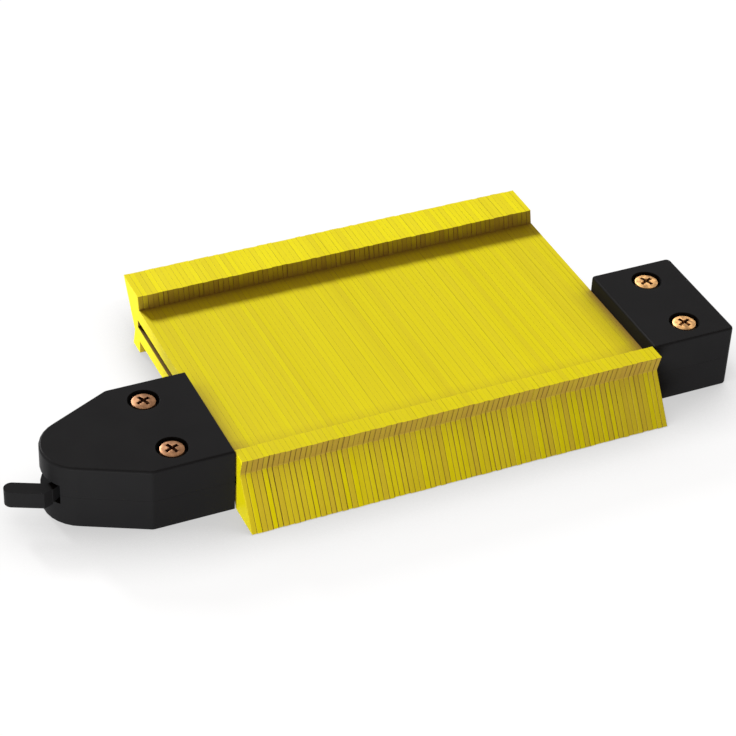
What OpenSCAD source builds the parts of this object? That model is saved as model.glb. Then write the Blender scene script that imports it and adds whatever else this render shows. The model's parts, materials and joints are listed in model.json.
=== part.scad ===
// Contour gauge: a row of thin sliding teeth on two flat rails, held between two end blocks
// and locked by a cam lever in the nose of the left block.
// +X runs along the row, +Y to the rear, +Z up. The origin is under the middle of the whole gauge.

/* [Teeth] */
// Number of teeth in the row
tooth_count = 82; // [60:2:94]
// Teeth that slide together as one pack
pack_tooth_count = 2; // [2:1:5]
// Length of the whole row of teeth
row_len = 127.2; // [100:0.6:160]
// Play between one tooth and the next
tooth_gap = 0.03; // [0.02:0.01:0.1]
// Length of a tooth from tip to tip
tooth_len = 100; // [92:1:120]
// Height of a tooth over its flanges
tooth_h = 19.2; // [16:0.2:24]
// Height of the web between the flanges
web_h = 11; // [9:0.2:13]
// Length of the open channel between the flanges
channel_len = 74; // [68:0.5:76]
// How far the inner face of a flange leans back
flange_lean = 1; // [0.5:0.1:2]
// Width of the narrow lip at its rim
lip_w = 5.5; // [4:0.1:6]
// How far the neck is set back under the lip
lip_undercut = 1.5; // [0.5:0.1:2.5]
// Depth of the neck below the rim of the lip
neck_drop = 5.6; // [4:0.1:7]
// Length of the guide slot in a tooth
slot_len = 76.6; // [72:0.2:78]
// How far the row stands behind the middle of the frame
row_shift = 19.6; // [-22:0.2:22]

/* [End blocks] */
// Width of both end blocks
block_w = 38; // [36:0.5:50]
// Length of the right block
right_len = 26.2; // [22:0.1:40]
// Length of the straight part of the left block
left_len = 22.6; // [20:0.1:35]
// Distance from the straight part to the centre of the nose
nose_reach = 13.5; // [11:0.5:20]
// Radius of the nose
nose_r = 11.5; // [11.1:0.1:14]
// Radius of the upright corners where the left block begins to narrow
left_corner_r = 2.5; // [1.2:0.1:4]
// Radius of the upright corners at the end of the right block
right_corner_r = 1.6; // [1.2:0.1:4]
// Radius of the upright corners beside the row
inner_corner_r = 1; // [0.9:0.1:2]
// Rounding of the top and bottom edges
edge_r = 0.8; // [0.3:0.1:0.9]
// Wall left round the hollow core of the right block
core_wall = 2.4; // [1.6:0.1:4]
// How far the blocks stand out above and below the teeth
block_over = 0.45; // [0.3:0.05:1]

/* [Rails and screws] */
// Width of a rail
rail_w = 8; // [7:0.2:9]
// Thickness of a rail
rail_t = 2; // [1.2:0.1:2.4]
// Length of rail past its screw
rail_tail = 5.5; // [4:0.1:7]
// Distance between the two screws of a block, across the frame
screw_span = 22; // [21:0.2:24]
// Distance from the row side of the left block to its screws
left_screw_in = 14.8; // [10:0.1:16]
// Distance from the row side of the right block to its screws
right_screw_in = 14.1; // [10:0.1:16]
// Diameter of a screw head
head_d = 6.7; // [6:0.1:8]
// Height of a screw head
head_h = 2.2; // [1.8:0.1:2.6]
// Height of the dome on a screw head
head_dome = 0.4; // [0.3:0.1:1.2]
// Diameter of a screw shank
shank_d = 3.6; // [3:0.1:4]
// Length of a screw shank
shank_len = 14; // [11:0.5:14.5]
// How far a screw head lies below the top of the block
head_sink = 0.1; // [0.1:0.1:1]
// Length of the cross recess in a screw head
cross_len = 4.2; // [3:0.1:5]
// Width of the cross recess in a screw head
cross_w = 1; // [0.6:0.1:1.2]
// Depth of the cross recess in a screw head
cross_depth = 1.3; // [0.8:0.1:1.6]
// Angle that the cross recesses are turned to
cross_turn = 22; // [0:1:89]

/* [Lock lever] */
// Height of the slot that the lever swings in
lever_slot_h = 6.2; // [5.4:0.1:8]
// Angle of the slot from the point of the nose to its front end
slot_front = 39.4; // [36:0.1:44]
// Angle of the slot from the point of the nose to its rear end
slot_rear = 60; // [58:1:64]
// Radius of the round hub that works as the cam
hub_r = 8.6; // [7.6:0.1:8.8]
// Distance from the lever pin to the middle of the hub
hub_throw = 0.4; // [0.2:0.05:0.5]
// Angle that the lever swings to the rear, from where it lies to where it locks
lock_swing = 65; // [58:1:66]
// Angle that the lever can still swing to the front
free_swing = 7; // [4:0.5:8]
// Angle of the handle from the line of the row
handle_angle = 24.5; // [20:0.5:26]
// Width of the neck that joins the handle to the hub
neck_w = 2.5; // [2:0.1:3]
// Thickness of the neck
neck_t = 4.35; // [3.5:0.05:5]
// Radius of the fillet between neck and hub
neck_fillet = 2; // [1.5:0.1:2.2]
// Width of the handle
handle_w = 4.4; // [3.6:0.1:5]
// Thickness of the handle
handle_t = 4.95; // [4:0.05:6]
// Distance of the handle's middle line from the lever pin
handle_offset = 9.6; // [9:0.1:10]
// Distance along the handle from the lever pin to where it widens from the neck
handle_start = 7.1; // [6.6:0.1:10]
// Reach of the handle along its middle line
handle_reach = 20; // [18:0.1:26]
// Diameter of the lever pin
pin_d = 4; // [3:0.1:5]
// Length of the lever pin
pin_len = 14; // [11:0.5:15]

/* [Pusher] */
// Thickness of the pressure plate
plate_t = 0.8; // [0.6:0.1:1.5]
// How far the edges of the pressure plate are set in from the blocks
plate_inset = 1; // [0.8:0.1:3]
// Depth of the pocket in the left block that the pressure plate lies in
plate_pocket = 1; // [0.4:0.1:1.1]
// Width of the push bar
bar_w = 10; // [8:0.2:11]
// Thickness of the push bar
bar_t = 4.5; // [3:0.1:5]

/* [Clearances] */
// Room between the pressure plate and the first tooth, lever open
plate_gap = 0.5; // [0.5:0.05:1]
// Room behind the pressure plate, and between the last tooth and the right block
end_gap = 0.1; // [0.05:0.05:0.5]
// Room of a rail above and below in a tooth slot and in the plate
rail_play = 0.25; // [0.1:0.05:0.4]
// Room of pieces that are clamped or seated
seat_gap = 0.02; // [0.01:0.01:0.05]
// Radial room of a turning fit
run_fit = 0.05; // [0.03:0.01:0.1]
// Room on each side of a sliding piece
slide_gap = 0.15; // [0.1:0.05:0.3]
// Room between the handle and the round of the nose
handle_gap = 0.35; // [0.3:0.05:0.6]
// Room between the hub and the wall of its chamber
hub_gap = 0.5; // [0.3:0.1:0.8]
// Room between the hub and the push bar
cam_gap = 0.03; // [0.02:0.01:0.05]
// Room round a screw shank in the upper block and the rail
shank_gap = 0.15; // [0.1:0.05:0.3]
// Room round a screw head
head_gap = 1.1; // [0.3:0.1:1.2]
// Room below the end of a screw
tip_gap = 0.5; // [0.3:0.1:1]
// Angle left between the neck and the front end of its slot
stop_angle = 2; // [1.5:0.5:3]

/* [Hidden] */
$fn = 64;
hull_fn = 32;
cut = 1;

tooth_pitch = row_len / tooth_count;
tooth_t = tooth_pitch - tooth_gap;
pack_count = ceil(tooth_count / pack_tooth_count);

block_h = tooth_h + 2 * block_over;
half_h = block_h / 2;
pocket_x = -row_len / 2 - plate_gap - plate_t - end_gap;
left_face = pocket_x + plate_pocket;
right_face = row_len / 2 + end_gap;
right_end = right_face + right_len;
nose_x = left_face - left_len - nose_reach;

left_screw_x = left_face - left_screw_in;
right_screw_x = right_face + right_screw_in;
rail_y = screw_span / 2;
rail_start = left_screw_x - rail_tail;
rail_stop = right_screw_x + rail_tail;
head_seat = half_h - head_sink - head_h;
tooth_slot_h = rail_t + 2 * rail_play;
tooth_drop = rail_play - seat_gap;

nose_dir = 180;
handle_dir = nose_dir - handle_angle;
hub_h = lever_slot_h - 2 * slide_gap;
throw_dir = nose_dir / 2 + (lock_swing - free_swing) / 2;
cam_x = nose_x + hub_r + hub_throw * cos(throw_dir) + cam_gap;
chamber_r = hub_r + hub_throw + hub_gap;
plate_x = pocket_x + end_gap;
plate_w = block_w - 2 * plate_inset;
plate_low = half_h - plate_inset;
plate_high = web_h / 2;

tip_round = handle_w / 2;
handle_near = handle_offset - tip_round;
handle_far = handle_offset + tip_round;
neck_far = handle_near + neck_w;
tip_x = handle_reach - tip_round;
lever_end = nose_x + tip_x * cos(handle_dir) - handle_offset * sin(handle_dir) - tip_round;
middle_x = (lever_end + right_end) / 2;

function pack_name(i) = str("tooth_pack_", i < 10 ? "0" : "", i);

black_plastic = "#1d1d1f";
yellow_plastic = "#e8dc16";
steel = "#b9bdc2";
copper = "#b87a48";

// Moves the frame, drawn round the middle of the row at its parting plane, to the part's own origin.
module in_frame() {
    translate([-middle_x, -row_shift, half_h]) children();
}

// One rounded half of a block: posts is a list of [x, y, radius] for the upright corners.
module half_block(posts) {
    hull()
        for (turn = [0, 30, 60, 90], post = posts)
            translate([post.x, post.y, 0])
                cylinder(
                    h = half_h - edge_r * (1 - sin(turn)),
                    r = post[2] - edge_r * (1 - cos(turn)),
                    $fn = hull_fn
                );
}

// The half block is drawn past the row side and cut off there, which leaves that edge sharp.
module left_half_block() {
    straight_y = block_w / 2 - left_corner_r;
    face_y = block_w / 2 - inner_corner_r;
    difference() {
        half_block([
            for (side = [-1, 1]) [left_face, side * face_y, inner_corner_r],
            for (side = [-1, 1]) [left_face - left_len, side * straight_y, left_corner_r],
            [nose_x, 0, nose_r]
        ]);
        translate([left_face, -block_w, -cut]) cube([2 * inner_corner_r, 2 * block_w, block_h]);
    }
}

module right_half_block() {
    end_y = block_w / 2 - right_corner_r;
    face_y = block_w / 2 - inner_corner_r;
    half_block([
        for (side = [-1, 1]) [right_face + inner_corner_r, side * face_y, inner_corner_r],
        for (side = [-1, 1]) [right_end - right_corner_r, side * end_y, right_corner_r]
    ]);
}

module at_screws(x) {
    for (side = [-1, 1]) translate([x, side * rail_y, 0]) children();
}

// A flat strip along the row with room on every side, for the pockets and slots that hold a rail.
module rail_room(room) {
    length = rail_stop - rail_start + 2 * room;
    for (side = [-1, 1])
        translate([rail_start - room, side * rail_y - rail_w / 2 - room, -rail_t / 2 - room])
            cube([length, rail_w + 2 * room, rail_t + 2 * room]);
}

// Clearance hole with its counterbore, from the parting plane up through the top.
module screw_passage() {
    translate([0, 0, -cut]) cylinder(h = block_h, d = shank_d + 2 * shank_gap);
    translate([0, 0, head_seat]) cylinder(h = block_h, d = head_d + 2 * head_gap);
}

// Blind hole that the shank bites into, from the parting plane down.
module screw_pilot() {
    bottom = head_seat - shank_len - tip_gap;
    translate([0, 0, bottom]) cylinder(h = cut - bottom, d = shank_d + 2 * seat_gap);
}

// Chamber of the hub, the slot that the handle swings in and the channel of the push bar.
module lever_room() {
    translate([nose_x, 0, -lever_slot_h / 2]) {
        cylinder(h = lever_slot_h, r = chamber_r);
        linear_extrude(lever_slot_h) slot_sector();
    }
    channel_y = bar_w / 2 + slide_gap;
    channel_z = bar_t / 2 + slide_gap;
    translate([nose_x, -channel_y, -channel_z])
        cube([left_face + cut - nose_x, 2 * channel_y, 2 * channel_z]);
    translate([nose_x, 0, -pin_len / 2 - seat_gap])
        cylinder(h = pin_len + 2 * seat_gap, d = pin_d + 2 * seat_gap);
}

// Pocket in the row side of the left block, with room round the pressure plate.
module plate_room() {
    translate([pocket_x, -plate_w / 2 - slide_gap, -plate_low - slide_gap])
        cube([plate_pocket + cut, plate_w + 2 * slide_gap, plate_low + plate_high + 2 * slide_gap]);
}

module slot_sector() {
    reach = 2 * nose_r;
    from = nose_dir - slot_rear;
    to = nose_dir + slot_front;
    polygon([
        [0, 0],
        for (step = [0 : 4])
            let (turn = from + (to - from) * step / 4) reach * [cos(turn), sin(turn)]
    ]);
}

module left_upper_shell() {
    color(black_plastic) in_frame()
        difference() {
            left_half_block();
            lever_room();
            plate_room();
            rail_room(seat_gap);
            at_screws(left_screw_x) screw_passage();
        }
}

module left_lower_shell() {
    color(black_plastic) in_frame()
        difference() {
            mirror([0, 0, 1]) left_half_block();
            lever_room();
            plate_room();
            rail_room(seat_gap);
            at_screws(left_screw_x) screw_pilot();
        }
}

// Hollow between the two rails of the right block, open at the parting plane.
module right_core() {
    core_y = rail_y - rail_w / 2 - core_wall / 2;
    core_z = half_h - core_wall;
    translate([right_face + core_wall, -core_y, -core_z])
        cube([right_len - 2 * core_wall, 2 * core_y, 2 * core_z]);
}

module right_upper_shell() {
    color(black_plastic) in_frame()
        difference() {
            right_half_block();
            right_core();
            rail_room(seat_gap);
            at_screws(right_screw_x) screw_passage();
        }
}

module right_lower_shell() {
    color(black_plastic) in_frame()
        difference() {
            mirror([0, 0, 1]) right_half_block();
            right_core();
            rail_room(seat_gap);
            at_screws(right_screw_x) screw_pilot();
        }
}

// One flat rail, drilled for a screw at each end; side is -1 for the front and 1 for the rear.
module rail(side) {
    color(steel) in_frame()
        difference() {
            translate([rail_start, side * rail_y - rail_w / 2, -rail_t / 2])
                cube([rail_stop - rail_start, rail_w, rail_t]);
            for (x = [left_screw_x, right_screw_x])
                translate([x, side * rail_y, -rail_t])
                    cylinder(h = 2 * rail_t, d = shank_d + 2 * shank_gap);
        }
}

module front_rail() {
    rail(-1);
}

module rear_rail() {
    rail(1);
}

// Screw with a low dome and a cross recess, its head seated at height 0.
module screw() {
    dome_r = (pow(head_d / 2, 2) + pow(head_dome, 2)) / (2 * head_dome);
    difference() {
        intersection() {
            cylinder(h = head_h, d = head_d);
            translate([0, 0, head_h - dome_r]) sphere(dome_r);
        }
        for (turn = [0, 90])
            rotate(cross_turn + turn)
                translate([-cross_len / 2, -cross_w / 2, head_h - cross_depth])
                    cube([cross_len, cross_w, head_h]);
    }
    translate([0, 0, -shank_len]) cylinder(h = shank_len, d = shank_d);
}

module left_screws() {
    color(copper) in_frame() at_screws(left_screw_x) translate([0, 0, head_seat]) screw();
}

module right_screws() {
    color(copper) in_frame() at_screws(right_screw_x) translate([0, 0, head_seat]) screw();
}

// Plan of the neck, lying along +X beside the pin, its inner end cut towards the pin.
module neck_plan() {
    cut_turn = nose_dir + slot_front - free_swing - stop_angle - handle_dir;
    polygon([
        [handle_near / tan(cut_turn), handle_near],
        [neck_far / tan(cut_turn), neck_far],
        [tip_x, neck_far],
        [tip_x, handle_near]
    ]);
}

// Fill between the hub and the near edge of the neck, hollowed by the fillet.
module fillet_plan() {
    throw_turn = throw_dir - handle_dir;
    hub = hub_throw * [cos(throw_turn), sin(throw_turn)];
    fillet_y = handle_near - neck_fillet;
    fillet_x = hub.x + sqrt(pow(hub_r + neck_fillet, 2) - pow(fillet_y - hub.y, 2));
    difference() {
        polygon([hub, [fillet_x, fillet_y], [fillet_x, handle_near], [hub.x, handle_near]]);
        translate([fillet_x, fillet_y]) circle(neck_fillet);
    }
}

// Plan of the handle: it widens from the neck to the front, runs close to the nose and ends in a round tip.
module handle_plan() {
    widen = handle_far - neck_far;
    difference() {
        polygon([
            [handle_start, handle_near],
            [handle_start, neck_far],
            [handle_start + widen, handle_far],
            [tip_x, handle_far],
            [tip_x, handle_near]
        ]);
        circle(nose_r + handle_gap);
    }
    translate([tip_x, handle_offset]) circle(tip_round);
}

module lock_lever() {
    color(black_plastic) in_frame()
        translate([nose_x, 0, -hub_h / 2])
            difference() {
                union() {
                    translate(hub_throw * [cos(throw_dir), sin(throw_dir), 0])
                        cylinder(h = hub_h, r = hub_r);
                    rotate(handle_dir) {
                        linear_extrude(neck_t) {
                            neck_plan();
                            fillet_plan();
                        }
                        translate([0, 0, neck_t - handle_t]) linear_extrude(handle_t) handle_plan();
                    }
                }
                translate([0, 0, -cut]) cylinder(h = hub_h + 2 * cut, d = pin_d + 2 * run_fit);
            }
}

module lever_pin() {
    color(steel) in_frame()
        translate([nose_x, 0, -pin_len / 2]) cylinder(h = pin_len, d = pin_d);
}

module push_bar() {
    color(black_plastic) in_frame()
        translate([cam_x, -bar_w / 2, -bar_t / 2]) cube([plate_x - cam_x, bar_w, bar_t]);
}

// The plate ends at the height of the webs above and a little short of the block below.
module pressure_plate() {
    color(black_plastic) in_frame()
        difference() {
            translate([plate_x, -plate_w / 2, -plate_low]) cube([plate_t, plate_w, plate_low + plate_high]);
            rail_room(rail_play);
        }
}

// Side view of a tooth: web, tall flange and narrow lip, the same again after half a turn.
module tooth_plan() {
    rim_z = tooth_h / 2;
    web_z = web_h / 2;
    inner_y = channel_len / 2;
    lip_y = inner_y + lip_w;
    half = [
        [-tooth_len / 2, -rim_z],
        [-inner_y - flange_lean, -rim_z],
        [-inner_y, -web_z],
        [inner_y, -web_z],
        [inner_y, -rim_z],
        [lip_y, -rim_z],
        [lip_y - lip_undercut, neck_drop - rim_z]
    ];
    difference() {
        polygon(concat(half, -half));
        square([slot_len, tooth_slot_h], center = true);
    }
}

// A tooth hangs with the top of its slot on the rails.
module tooth(index) {
    start_x = index * tooth_pitch + tooth_gap / 2 - row_len / 2;
    translate([start_x - middle_x, 0, half_h - tooth_drop])
        rotate([90, 0, 90]) linear_extrude(tooth_t) tooth_plan();
}

// Neighbouring teeth that slide as one, counted from the left.
module tooth_pack(i) {
    first = (i - 1) * pack_tooth_count;
    last = min(first + pack_tooth_count, tooth_count) - 1;
    color(yellow_plastic)
        for (index = [first : last]) tooth(index);
}

left_upper_shell();
left_lower_shell();
right_upper_shell();
right_lower_shell();
front_rail();
rear_rail();
left_screws();
right_screws();
lock_lever();
lever_pin();
push_bar();
pressure_plate();
for (i = [1 : pack_count])
    tooth_pack(i);
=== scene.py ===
import json
import math
import random

import bmesh
import bpy
from mathutils import Matrix, Vector

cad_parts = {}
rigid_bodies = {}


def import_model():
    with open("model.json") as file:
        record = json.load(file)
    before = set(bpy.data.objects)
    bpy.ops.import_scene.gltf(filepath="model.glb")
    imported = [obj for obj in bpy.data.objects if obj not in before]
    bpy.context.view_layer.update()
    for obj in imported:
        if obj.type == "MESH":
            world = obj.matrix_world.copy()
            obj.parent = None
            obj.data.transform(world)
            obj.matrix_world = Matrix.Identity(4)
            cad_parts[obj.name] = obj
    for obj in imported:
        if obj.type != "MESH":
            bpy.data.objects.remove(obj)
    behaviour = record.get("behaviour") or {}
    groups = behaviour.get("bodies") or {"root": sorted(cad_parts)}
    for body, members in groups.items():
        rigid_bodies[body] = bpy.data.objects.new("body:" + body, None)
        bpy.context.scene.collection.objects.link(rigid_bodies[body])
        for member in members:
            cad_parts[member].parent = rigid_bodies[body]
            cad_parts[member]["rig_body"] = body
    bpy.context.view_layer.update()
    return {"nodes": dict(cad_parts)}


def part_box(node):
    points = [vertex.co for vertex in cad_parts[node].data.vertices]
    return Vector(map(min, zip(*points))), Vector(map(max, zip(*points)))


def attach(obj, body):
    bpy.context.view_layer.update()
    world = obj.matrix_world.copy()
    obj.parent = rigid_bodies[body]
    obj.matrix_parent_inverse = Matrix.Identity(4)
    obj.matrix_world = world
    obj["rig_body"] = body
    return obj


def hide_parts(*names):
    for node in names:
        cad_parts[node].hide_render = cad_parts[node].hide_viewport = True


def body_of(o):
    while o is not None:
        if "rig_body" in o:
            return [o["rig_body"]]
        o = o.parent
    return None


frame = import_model()

MM = 0.001

# The photograph's camera, in the part's own frame.
PHOTO_PX = 736
FOCAL_PX = 2404.9
SENSOR_MM = 36.0
CAMERA_AT = Vector((-232.97, -496.8, 421.27)) * MM
CAMERA_AZIMUTH = math.radians(25.95)
CAMERA_ELEVATION = math.radians(36.98)
CAMERA_ROLL = math.radians(2.78)
CAMERA_NEAR = 0.01
CAMERA_FAR = 50.0

# Light: three lamps as (strength, azimuth, elevation, spread) and a warm surround, brighter overhead. The
# glow stands for light that a bright floor throws up, so it comes through the floor.
LAMPS = {
    "key_from_rear": (5.3, math.radians(-12), math.radians(27), math.radians(9)),
    "second_from_right": (0.3, math.radians(78), math.radians(32), math.radians(16)),
    "glow_from_floor": (3.6, math.radians(-140), math.radians(-12), math.radians(40)),
}
SURROUND_LOW = 0.18
SURROUND_HIGH = 0.28
SURROUND_TINT = (1.0, 0.68, 0.52, 1)
WHITE = (1, 1, 1, 1)

# Floor: its colour as a source of bounced light and as seen, its own glow, and the shade painted close to the
# part.
FLOOR_SIDE = 6.0
FLOOR_BOUNCE = 0.82
FLOOR_SHADE = 0.08
FLOOR_GLOW = 0.94
FLOOR_CONTACT = 0.62
FLOOR_SHADE_REACH = 24 * MM
SHADE_OFF_MIDDLE = (62 * MM, 76 * MM)
SHADE_IN_FRONT = (-30 * MM, 0.0)

# How the loose teeth stand out of line, and the rounding of edges.
TEETH_PER_PACK = 2
STAGGER_Y = 0.1 * MM
STAGGER_Z = 0.03 * MM
TOOTH_EDGE = 0.16 * MM
LEVEL_EDGE = (0.0, 0.07)
EDGE_SPREAD = (0.4, 1.3)
BLOCK_EDGE = 0.06 * MM
HANDLE_EDGE = 0.8 * MM
HANDLE_SEGMENTS = 4
SCREW_EDGE = 0.12 * MM
PLATE_EDGE = 0.1 * MM
MERGE = 0.001 * MM
FLAT_ANGLE = math.radians(0.5)
SHARP_ANGLE = math.radians(30)
SMOOTH_ANGLE = math.radians(35)
SEED = 7

# The nodes, and where the row of teeth lies.
PACKS = sorted(name for name in frame["nodes"] if name.startswith("tooth_pack_"))
SHELLS = ["left_upper_shell", "left_lower_shell", "right_upper_shell", "right_lower_shell"]
ROW_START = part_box(PACKS[0])[0][0]
ROW_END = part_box(PACKS[-1])[1][0]
ROW_MIDDLE = (ROW_START + ROW_END) / 2
TOOTH_PITCH = (ROW_END - ROW_START) / (TEETH_PER_PACK * len(PACKS))
TOOTH_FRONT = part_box(PACKS[0])[0][1]
SLOT_Z = sum(corner[2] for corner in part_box("front_rail")) / 2

# Zones of a tooth, each from where it starts to fade to where the fade ends.
FRONT_ZONE = (TOOTH_FRONT + 9 * MM, TOOTH_FRONT + 12 * MM)
REAR_ZONE = (0.0, 20 * MM)
LIP_HEIGHT = (13 * MM, 15 * MM)
RIM_HEIGHT = (16 * MM, 18.5 * MM)
SLOT_EDGE = (1.7 * MM, 2.0 * MM)
# Along the row, where the front face's painted light fades into painted shade.
PAINTED_FADE_ALONG = (-60 * MM, 60 * MM)

# How far a surface looks around itself for what closes it in.
CREASE_REACH = 9 * MM
SLOT_REACH = 6 * MM
END_REACH = 0.8 * MM
RECESS_REACH = 1.2 * MM

# Colours of the yellow, black, copper and steel surfaces, and of the light and shade painted on them.
LEMON = (0.73, 0.675, 0.001, 1)
# Painted light: the rear rim's lemon is painted lighter, standing in for the light it catches.
LEMON_RIM_LIT = (0.88, 0.82, 0.001, 1)
LEMON_END_LIT = (0.95, 0.87, 0.001, 1)
LEMON_DULL = (0.58, 0.46, 0.03, 1)
LEMON_STREAK = (0.52, 0.42, 0.001, 1)
# Painted shade: warm brown in the creases, below the lip and on the rear flange's inner face.
CREASE_SHADE = (0.25, 0.155, 0.028, 1)
GROOVE_SHADE = (0.08, 0.045, 0.008, 1)
SLOT_SHADE = (0.05, 0.026, 0.01, 1)
BLACK_DEEP = (0.0115, 0.0118, 0.0125, 1)
BLACK_RUBBED = (0.0145, 0.0148, 0.0156, 1)
COPPER_LEFT = (0.30, 0.15, 0.07, 1)
COPPER_RIGHT = (0.92, 0.53, 0.21, 1)
COPPER_WORN = (0.12, 0.052, 0.02, 1)
COPPER_RECESS_SHADE = (0.06, 0.016, 0.010, 1)
STEEL_DARK = (0.52, 0.53, 0.54, 1)
STEEL_LIGHT = (0.66, 0.67, 0.68, 1)
NOISE_ROUGHNESS = 0.55


def node_tree(name):
    material = bpy.data.materials.new(name)
    material.use_nodes = True
    tree = material.node_tree
    return material, tree, tree.nodes["Principled BSDF"]


def add(tree, kind, inputs=None, **settings):
    """A new node; an input is a number, a colour or the socket that feeds it."""
    node = tree.nodes.new(kind)
    for key, value in settings.items():
        setattr(node, key, value)
    for key, value in (inputs or {}).items():
        if isinstance(value, bpy.types.NodeSocket):
            tree.links.new(value, node.inputs[key])
        else:
            node.inputs[key].default_value = value
    return node


def math_node(tree, operation, first, second=0.0, third=0.0):
    return add(tree, "ShaderNodeMath", {0: first, 1: second, 2: third}, operation=operation).outputs[0]


def times(tree, first, second):
    return math_node(tree, "MULTIPLY", first, second)


def separated(tree, vector):
    """The X, Y and Z of a vector."""
    return add(tree, "ShaderNodeSeparateXYZ", {"Vector": vector}).outputs


def object_place(tree):
    return add(tree, "ShaderNodeTexCoord").outputs["Object"]


def noise(tree, scale, detail, stretch=(1.0, 1.0, 1.0)):
    """Noise with so many cells to the metre; a stretch below one draws it out along that axis."""
    vector = add(tree, "ShaderNodeMapping", {"Vector": object_place(tree), "Scale": stretch}).outputs[0]
    inputs = {"Vector": vector, "Scale": scale, "Detail": detail, "Roughness": NOISE_ROUGHNESS}
    return add(tree, "ShaderNodeTexNoise", inputs).outputs["Fac"]


def ranged(tree, value, start, stop, low, high):
    """Goes from low to high as the value goes from start to stop, and stays there beyond them."""
    inputs = {"Value": value, "From Min": start, "From Max": stop, "To Min": low, "To Max": high}
    return add(tree, "ShaderNodeMapRange", inputs).outputs[0]


def spread(tree, value, low, high):
    return ranged(tree, value, 0.0, 1.0, low, high)


def mix_colour(tree, factor, first, second):
    inputs = {0: factor, 6: first, 7: second}
    return add(tree, "ShaderNodeMix", inputs, data_type="RGBA").outputs[2]


def bump(tree, shader, height, distance, strength):
    inputs = {"Height": height, "Distance": distance, "Strength": strength}
    tree.links.new(add(tree, "ShaderNodeBump", inputs).outputs[0], shader.inputs["Normal"])


def open_sky(tree, reach, low, high):
    """Nought deep in a corner and one in the open, for the light and shade painted by how closed in a surface
    is.
    """
    shade = add(tree, "ShaderNodeAmbientOcclusion", {"Distance": reach}, samples=8).outputs["AO"]
    return ranged(tree, shade, low, high, 0.0, 1.0)


def seen_rays(tree):
    """One where the surface is seen by the camera, or through a mirror or glass."""
    path = add(tree, "ShaderNodeLightPath")
    first = math_node(tree, "MAXIMUM", path.outputs["Is Camera Ray"], path.outputs["Is Glossy Ray"])
    return math_node(tree, "MAXIMUM", first, path.outputs["Is Transmission Ray"])


def tooth_shade(tree, along):
    """A number from nought to one for every tooth, by its place in the row."""
    counted = math_node(tree, "MULTIPLY_ADD", along, 1 / TOOTH_PITCH, -ROW_START / TOOTH_PITCH)
    index = math_node(tree, "FLOOR", counted)
    return add(tree, "ShaderNodeTexWhiteNoise", {"W": index}, noise_dimensions="1D").outputs["Value"]


def tooth_zones(tree, at, facing):
    """One on the front lip, the front face below it, the rear rim or the rear flange's inner face."""
    front = ranged(tree, at["Y"], *FRONT_ZONE, 1.0, 0.0)
    rear = ranged(tree, at["Y"], *REAR_ZONE, 0.0, 1.0)
    lip = times(tree, front, ranged(tree, at["Z"], *LIP_HEIGHT, 0.0, 1.0))
    return {
        "lip": lip,
        "front_face": math_node(tree, "SUBTRACT", front, lip),
        "rim": times(tree, rear, ranged(tree, at["Z"], *RIM_HEIGHT, 0.0, 1.0)),
        "inner_face": times(tree, rear, ranged(tree, facing["Y"], -0.9, -0.6, 1.0, 0.0)),
    }


def lemon_tint(tree, at, facing, zones, streak):
    """The yellow itself: a shade for each tooth, drawn streaks, a rear rim painted lighter, and a front face
    whose painted light fades to painted shade towards the right.
    """
    light = mix_colour(tree, zones["rim"], LEMON, LEMON_RIM_LIT)
    # Each tooth's random tone spreads wider on faces that don't face up, which darkens them on average:
    # partly real tone, partly painted shade.
    tone_spread_and_side_shade = ranged(tree, facing["Z"], 0.6, 0.95, 1.0, 0.3)
    base = mix_colour(tree, times(tree, tooth_shade(tree, at["X"]), tone_spread_and_side_shade), light, LEMON_DULL)
    broad = noise(tree, 170, 1.0, (1.0, 0.03, 0.2))
    drawn = times(tree, spread(tree, streak, 0.0, 0.6), broad)
    tint = mix_colour(tree, drawn, base, LEMON_STREAK)
    # Painted light and shade: the front face is lighter at the left and darker at the right.
    across = ranged(tree, at["X"], *PAINTED_FADE_ALONG, 0.13, -0.18)
    painted_fading = math_node(tree, "ADD", times(tree, zones["front_face"], across), 1.0)
    faded = {"Vector": tint, "Scale": painted_fading}
    return add(tree, "ShaderNodeVectorMath", faded, operation="SCALE").outputs["Vector"]


def free_of_painted_shade(tree, upward, zones):
    """One where no shade is painted; nought in the creases of the row, low on faces that face down, on the
    front lip and on the rear flange's inner face, where warm shade is painted.
    """
    below = ranged(tree, upward, -0.3, -0.05, 0.3, 1.0)
    lean = times(tree, ranged(tree, upward, -0.5, 0.3, 0.3, 1.0), below)
    steep = math_node(tree, "MAXIMUM", lean, spread(tree, zones["lip"], 0.88, 0.0))
    crease = times(tree, open_sky(tree, CREASE_REACH, 0.6, 0.95), steep)
    return math_node(tree, "MINIMUM", crease, spread(tree, zones["inner_face"], 1.0, 0.42))


def free_of_slot(tree, height):
    """Nought in the depth of a tooth's long slot, where dark shade is painted."""
    off_slot = math_node(tree, "ABSOLUTE", math_node(tree, "SUBTRACT", height, SLOT_Z))
    off_slot = ranged(tree, off_slot, *SLOT_EDGE, 0.0, 1.0)
    return math_node(tree, "MAXIMUM", open_sky(tree, SLOT_REACH, 0.35, 0.7), off_slot)


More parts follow.
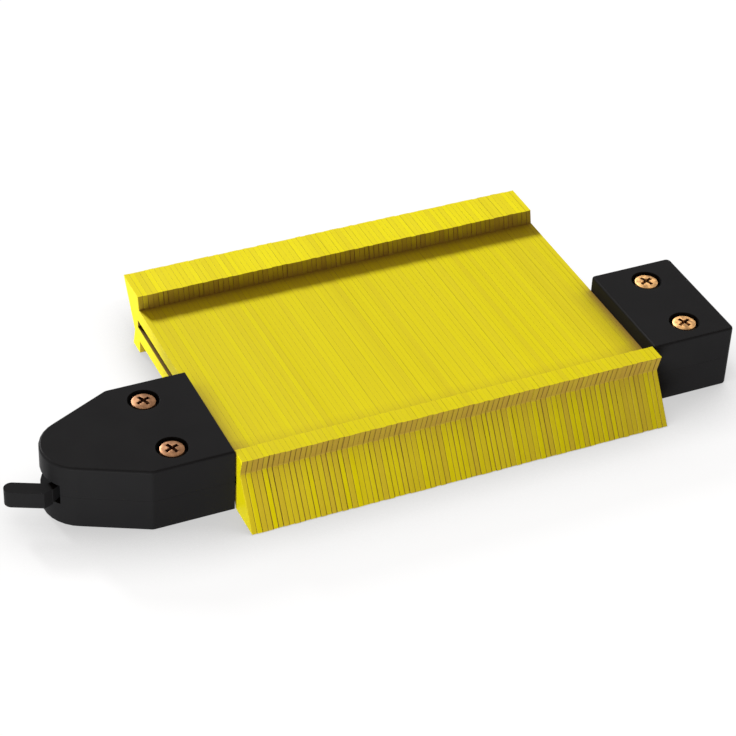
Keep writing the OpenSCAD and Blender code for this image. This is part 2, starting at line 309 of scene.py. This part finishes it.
def yellow_plastic():
    """Lemon yellow moulding: every tooth its own shade, with warm shade painted in the creases and below,
    dark shade painted in the slot, painted light on the end faces, and drawn streaks.
    """
    material, tree, shader = node_tree("yellow_plastic")
    at = separated(tree, object_place(tree))
    facing = separated(tree, add(tree, "ShaderNodeNewGeometry").outputs["Normal"])
    zones = tooth_zones(tree, at, facing)
    streak = noise(tree, 700, 2.0, (1.0, 0.02, 0.3))
    tint = lemon_tint(tree, at, facing, zones, streak)
    sideways = math_node(tree, "ABSOLUTE", facing["X"])
    # Painted light: end faces that stand in the open are painted brighter.
    end_face = ranged(tree, sideways, 0.9, 0.98, 0.0, 0.9)
    painted_end_light = times(tree, end_face, open_sky(tree, END_REACH, 0.4, 0.7))
    bright = mix_colour(tree, painted_end_light, tint, LEMON_END_LIT)
    # Painted shade: dark in the slot and warm brown in the creases, below the lip and on the rear flange's
    # inner face.
    painted_shade = mix_colour(tree, free_of_slot(tree, at["Z"]), SLOT_SHADE, CREASE_SHADE)
    lit = math_node(tree, "MAXIMUM", free_of_painted_shade(tree, facing["Z"], zones), painted_end_light)
    warm = mix_colour(tree, lit, painted_shade, bright)
    # Painted shade: dark lines on the lip's rounded edges between the teeth.
    groove_shade_mask = times(tree, zones["lip"], ranged(tree, sideways, 0.1, 0.4, 0.0, 0.8))
    groove_shade_mask = math_node(tree, "SUBTRACT", groove_shade_mask, end_face)
    warm = mix_colour(tree, groove_shade_mask, warm, GROOVE_SHADE)
    tree.links.new(warm, shader.inputs["Base Color"])
    tree.links.new(spread(tree, streak, 0.4, 0.55), shader.inputs["Roughness"])
    shader.inputs["Specular IOR Level"].default_value = 0.1
    bump(tree, shader, streak, 0.02 * MM, 0.3)
    return material


def black_plastic():
    """Satin black moulding with a fine grain and faint rubbed patches."""
    material, tree, shader = node_tree("black_plastic")
    patch = noise(tree, 90, 4.0)
    grain = noise(tree, 5200, 2.0)
    tree.links.new(mix_colour(tree, patch, BLACK_DEEP, BLACK_RUBBED), shader.inputs["Base Color"])
    tree.links.new(spread(tree, patch, 0.28, 0.4), shader.inputs["Roughness"])
    shader.inputs["Specular IOR Level"].default_value = 0.02
    bump(tree, shader, grain, 0.01 * MM, 0.3)
    return material


def copper_plating():
    """Copper-coloured screw plating, redder at the left end, with dark shade painted in the recess."""
    material, tree, shader = node_tree("copper_plating")
    along = separated(tree, object_place(tree))["X"]
    right_end = math_node(tree, "GREATER_THAN", along, 0.0)
    patch = noise(tree, 700, 4.0)
    scratch = noise(tree, 4200, 2.0, (1.0, 0.2, 1.0))
    tone = mix_colour(tree, right_end, COPPER_LEFT, COPPER_RIGHT)
    worn = mix_colour(tree, ranged(tree, patch, 0.35, 0.65, 0.0, 0.7), tone, COPPER_WORN)
    # Painted shade: the recess is darkened by how closed in it is.
    tint = mix_colour(tree, open_sky(tree, RECESS_REACH, 0.45, 0.8), COPPER_RECESS_SHADE, worn)
    tree.links.new(tint, shader.inputs["Base Color"])
    tree.links.new(spread(tree, scratch, 0.42, 0.6), shader.inputs["Roughness"])
    shader.inputs["Metallic"].default_value = 0.7
    shader.inputs["Specular IOR Level"].default_value = 0.2
    bump(tree, shader, scratch, 0.01 * MM, 0.3)
    return material


def rolled_steel():
    """Bright flat steel with the lines of rolling along it."""
    material, tree, shader = node_tree("rolled_steel")
    line = noise(tree, 2600, 3.0, (0.02, 1.0, 1.0))
    tree.links.new(mix_colour(tree, line, STEEL_DARK, STEEL_LIGHT), shader.inputs["Base Color"])
    tree.links.new(spread(tree, line, 0.25, 0.42), shader.inputs["Roughness"])
    shader.inputs["Metallic"].default_value = 1.0
    bump(tree, shader, line, 0.008 * MM, 0.4)
    return material


def clean_copy(node):
    """A bmesh of a CAD node with its seams welded and its flat faces made whole."""
    mesh = bmesh.new()
    mesh.from_mesh(frame["nodes"][node].data)
    bmesh.ops.remove_doubles(mesh, verts=mesh.verts, dist=MERGE)
    bmesh.ops.dissolve_limit(
        mesh, angle_limit=FLAT_ANGLE, verts=mesh.verts, edges=mesh.edges, delimit=set()
    )
    return mesh


def is_sharp(edge):
    return edge.is_manifold and edge.calc_face_angle() > SHARP_ANGLE


def round_edges(mesh, width, segments):
    edges = [edge for edge in mesh.edges if is_sharp(edge)]
    bmesh.ops.bevel(
        mesh, geom=edges, offset=width, segments=segments, affect="EDGES", profile=0.5,
        clamp_overlap=True, loop_slide=True
    )


def islands(mesh):
    """The loose solids of a mesh, each a list of vertices, from left to right."""
    left = set(mesh.verts)
    found = []
    while left:
        wave = [left.pop()]
        part = list(wave)
        while wave:
            near = {e.other_vert(v) for v in wave for e in v.link_edges} & left
            left -= near
            wave = list(near)
            part += wave
        found.append(part)
    return sorted(found, key=lambda part: min(v.co.x for v in part))


def weigh_edges(part, weight, much, less):
    """Marks a tooth's sharp edges for rounding: less on the level ones, which close up in the row."""
    for edge in {e for v in part for e in v.link_edges}:
        if is_sharp(edge):
            rise = abs(edge.verts[1].co.z - edge.verts[0].co.z)
            edge[weight] = less if rise < MERGE else much


def dress(node, mesh, material):
    """Puts the finished mesh in the CAD node's place, on the CAD node's body."""
    data = bpy.data.meshes.new(node + "_look")
    mesh.normal_update()
    for face in mesh.faces:
        face.smooth = True
    for edge in mesh.edges:
        edge.smooth = edge.is_manifold and edge.calc_face_angle() < SMOOTH_ANGLE
    mesh.to_mesh(data)
    mesh.free()
    data.materials.append(material)
    piece = bpy.data.objects.new(node + "_look", data)
    bpy.context.scene.collection.objects.link(piece)
    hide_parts(node)
    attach(piece, body_of(frame["nodes"][node])[0])
    piece.modifiers.new("even_shading", "WEIGHTED_NORMAL").keep_sharp = True
    return piece


def build_teeth(material):
    """The row: every tooth a little out of line, with edges rounded by its own amount."""
    draw = random.Random(SEED)
    for name in PACKS:
        mesh = clean_copy(name)
        weight = mesh.edges.layers.float.new("bevel_weight_edge")
        for part in islands(mesh):
            weigh_edges(part, weight, draw.uniform(*EDGE_SPREAD), draw.uniform(*LEVEL_EDGE))
            shift = Vector((0, draw.uniform(-1, 1) * STAGGER_Y, draw.uniform(-1, 1) * STAGGER_Z))
            for vertex in part:
                vertex.co += shift
        piece = dress(name, mesh, material)
        rounding = piece.modifiers.new("rounding", "BEVEL")
        rounding.limit_method = "WEIGHT"
        rounding.width = TOOTH_EDGE
        rounding.segments = 1
        piece.modifiers.move(1, 0)


def build_rigid(nodes, width, material, segments=2):
    for name in nodes:
        mesh = clean_copy(name)
        round_edges(mesh, width, segments)
        dress(name, mesh, material)


def direction(azimuth, elevation):
    """Unit vector towards a place seen at that azimuth from +Y and height above the floor."""
    flat = math.cos(elevation)
    return Vector((math.sin(azimuth) * flat, math.cos(azimuth) * flat, math.sin(elevation)))


def build_camera():
    data = bpy.data.cameras.new("photo_camera")
    data.sensor_width = SENSOR_MM
    data.lens = FOCAL_PX / PHOTO_PX * SENSOR_MM
    data.clip_start = CAMERA_NEAR
    data.clip_end = CAMERA_FAR
    camera = bpy.data.objects.new("photo_camera", data)
    bpy.context.scene.collection.objects.link(camera)
    aim = direction(CAMERA_AZIMUTH, -CAMERA_ELEVATION)
    turn = aim.to_track_quat("-Z", "Y").to_matrix().to_4x4()
    camera.matrix_world = Matrix.Translation(CAMERA_AT) @ turn @ Matrix.Rotation(CAMERA_ROLL, 4, "Z")
    bpy.context.scene.camera = camera


def build_lamps():
    for name, (strength, azimuth, elevation, width) in LAMPS.items():
        data = bpy.data.lights.new(name, "SUN")
        data.energy = strength
        data.angle = width
        lamp = bpy.data.objects.new(name, data)
        bpy.context.scene.collection.objects.link(lamp)
        lamp.rotation_euler = direction(azimuth, elevation).to_track_quat("Z", "Y").to_euler()


def build_surround():
    """White where it is seen, and a weak warm light on the part."""
    world = bpy.data.worlds.new("studio")
    world.use_nodes = True
    bpy.context.scene.world = world
    tree = world.node_tree
    background = tree.nodes["Background"]
    height = separated(tree, add(tree, "ShaderNodeTexCoord").outputs["Generated"])["Z"]
    seen = seen_rays(tree)
    strength = spread(tree, seen, spread(tree, height, SURROUND_LOW, SURROUND_HIGH), 1.0)
    tree.links.new(strength, background.inputs["Strength"])
    tree.links.new(mix_colour(tree, seen, SURROUND_TINT, WHITE), background.inputs["Color"])


def floor_shade(tree):
    """Painted contact shade: one in the open and less on the floor close to the part, beside the row and in
    front of it.
    """
    at = separated(tree, object_place(tree))
    off_middle = math_node(tree, "ABSOLUTE", math_node(tree, "SUBTRACT", at["X"], ROW_MIDDLE))
    by_row = ranged(tree, off_middle, *SHADE_OFF_MIDDLE, 1.0, 0.1)
    in_front = ranged(tree, at["Y"], *SHADE_IN_FRONT, 1.0, 0.15)
    closed = math_node(tree, "SUBTRACT", 1.0, open_sky(tree, FLOOR_SHADE_REACH, 0.55, 0.98))
    shaded = times(tree, closed, math_node(tree, "MAXIMUM", by_row, in_front))
    return spread(tree, shaded, 1.0, FLOOR_CONTACT)


def pale_floor():
    """White as paper for the light that it throws back; where it is seen, a glow with a faint cast shadow and
    painted contact shade.
    """
    material, tree, shader = node_tree("pale_floor")
    seen = seen_rays(tree)
    bounce = (FLOOR_BOUNCE, FLOOR_BOUNCE, FLOOR_BOUNCE, 1)
    shade = (FLOOR_SHADE, FLOOR_SHADE, FLOOR_SHADE, 1)
    tree.links.new(mix_colour(tree, seen, bounce, shade), shader.inputs["Base Color"])
    glow = times(tree, spread(tree, seen, 0.0, FLOOR_GLOW), floor_shade(tree))
    tree.links.new(glow, shader.inputs["Emission Strength"])
    shader.inputs["Emission Color"].default_value = WHITE
    shader.inputs["Roughness"].default_value = 1.0
    shader.inputs["Specular IOR Level"].default_value = 0.0
    return material


def build_floor():
    """The floor casts no shadow itself, so that the lamp below it gets through."""
    half = FLOOR_SIDE / 2
    corners = [(-half, -half, 0), (half, -half, 0), (half, half, 0), (-half, half, 0)]
    data = bpy.data.meshes.new("floor")
    data.from_pydata(corners, [], [(0, 1, 2, 3)])
    data.materials.append(pale_floor())
    floor = bpy.data.objects.new("floor", data)
    bpy.context.scene.collection.objects.link(floor)
    floor.visible_shadow = False


build_camera()
build_lamps()
build_surround()
build_floor()

yellow = yellow_plastic()
black = black_plastic()
copper = copper_plating()
steel = rolled_steel()

build_teeth(yellow)
build_rigid(SHELLS, BLOCK_EDGE, black)
build_rigid(["lock_lever"], HANDLE_EDGE, black, HANDLE_SEGMENTS)
build_rigid(["push_bar", "pressure_plate"], PLATE_EDGE, black)
build_rigid(["left_screws", "right_screws"], SCREW_EDGE, copper)
build_rigid(["front_rail", "rear_rail", "lever_pin"], PLATE_EDGE, steel)

bpy.context.scene.view_settings.view_transform = "Standard"
